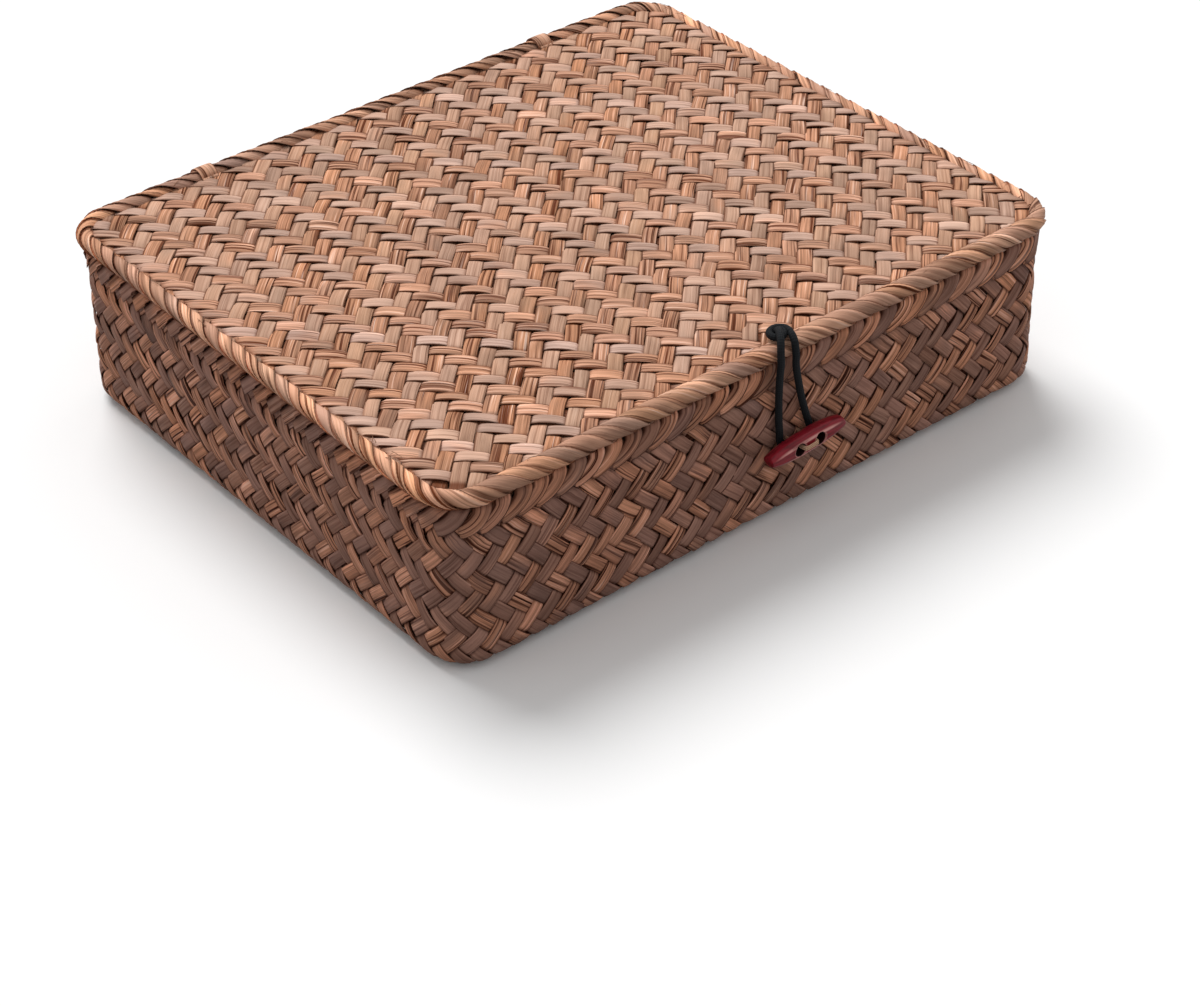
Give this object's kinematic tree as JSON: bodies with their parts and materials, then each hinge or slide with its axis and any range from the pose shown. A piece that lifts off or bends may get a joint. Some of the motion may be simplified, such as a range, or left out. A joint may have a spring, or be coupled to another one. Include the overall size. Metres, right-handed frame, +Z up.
{
  "type": "woven lidded box",
  "caption": "Shallow rectangular box plaited from dark sedge strips, with a flat lid lashed along the back, a bound rim, and an elastic loop that hooks behind a wooden toggle in front.",
  "frame": {"origin": "middle of the tray's flat underside, where the box rests", "axes": "+X along the length, to the right as seen from the front; -Y out of the front, where the toggle is; +Z up"},
  "size_m": [0.299, 0.2584, 0.0804],
  "materials": {
    "dark_weave": "satin",
    "pale_weave": "satin",
    "inside_weave": "satin",
    "binding_strip": "satin",
    "cane": "satin",
    "thread": "matte",
    "elastic": "matte",
    "toggle_wood": "gloss"
  },
  "bodies": {
    "tray": {"tray_weave": "dark_weave", "tray_lining": "inside_weave", "tray_rim_cane": "cane", "tray_rim_border": "dark_weave", "hinge_lashing_left": "binding_strip", "hinge_lashing_right": "binding_strip", "toggle_thread": "thread"},
    "lid": {"lid_weave": "pale_weave", "lid_lining": "inside_weave", "lid_rim_cane": "cane", "lid_rim_wrap": "binding_strip", "loop_knot": "elastic"},
    "loop": {"closure_loop": "elastic"},
    "toggle": {"toggle_button": "toggle_wood"}
  },
  "joints": [
    {"name": "lid_hinge", "type": "hinge", "parent": "tray", "child": "lid", "pos_m": [0, 0.1228, 0.069], "axis": [-1, 0, 0], "range_deg": [0, 180], "deforming": ["hinge_lashing_left", "hinge_lashing_right"]},
    {"name": "loop_swing", "type": "hinge", "parent": "lid", "child": "loop", "pos_m": [0.0033, -0.1253, 0.073], "axis": [-1, 0, 0], "range_deg": [0, 150], "deforming": ["closure_loop"]},
    {"name": "toggle_turn", "type": "hinge", "parent": "tray", "child": "toggle", "pos_m": [0.0095, -0.1282, 0.0345], "axis": [0, -1, 0], "range_deg": [-25, 25], "stiffness_Nm_per_rad": 0.0004, "deforming": ["toggle_thread"]}
  ]
}
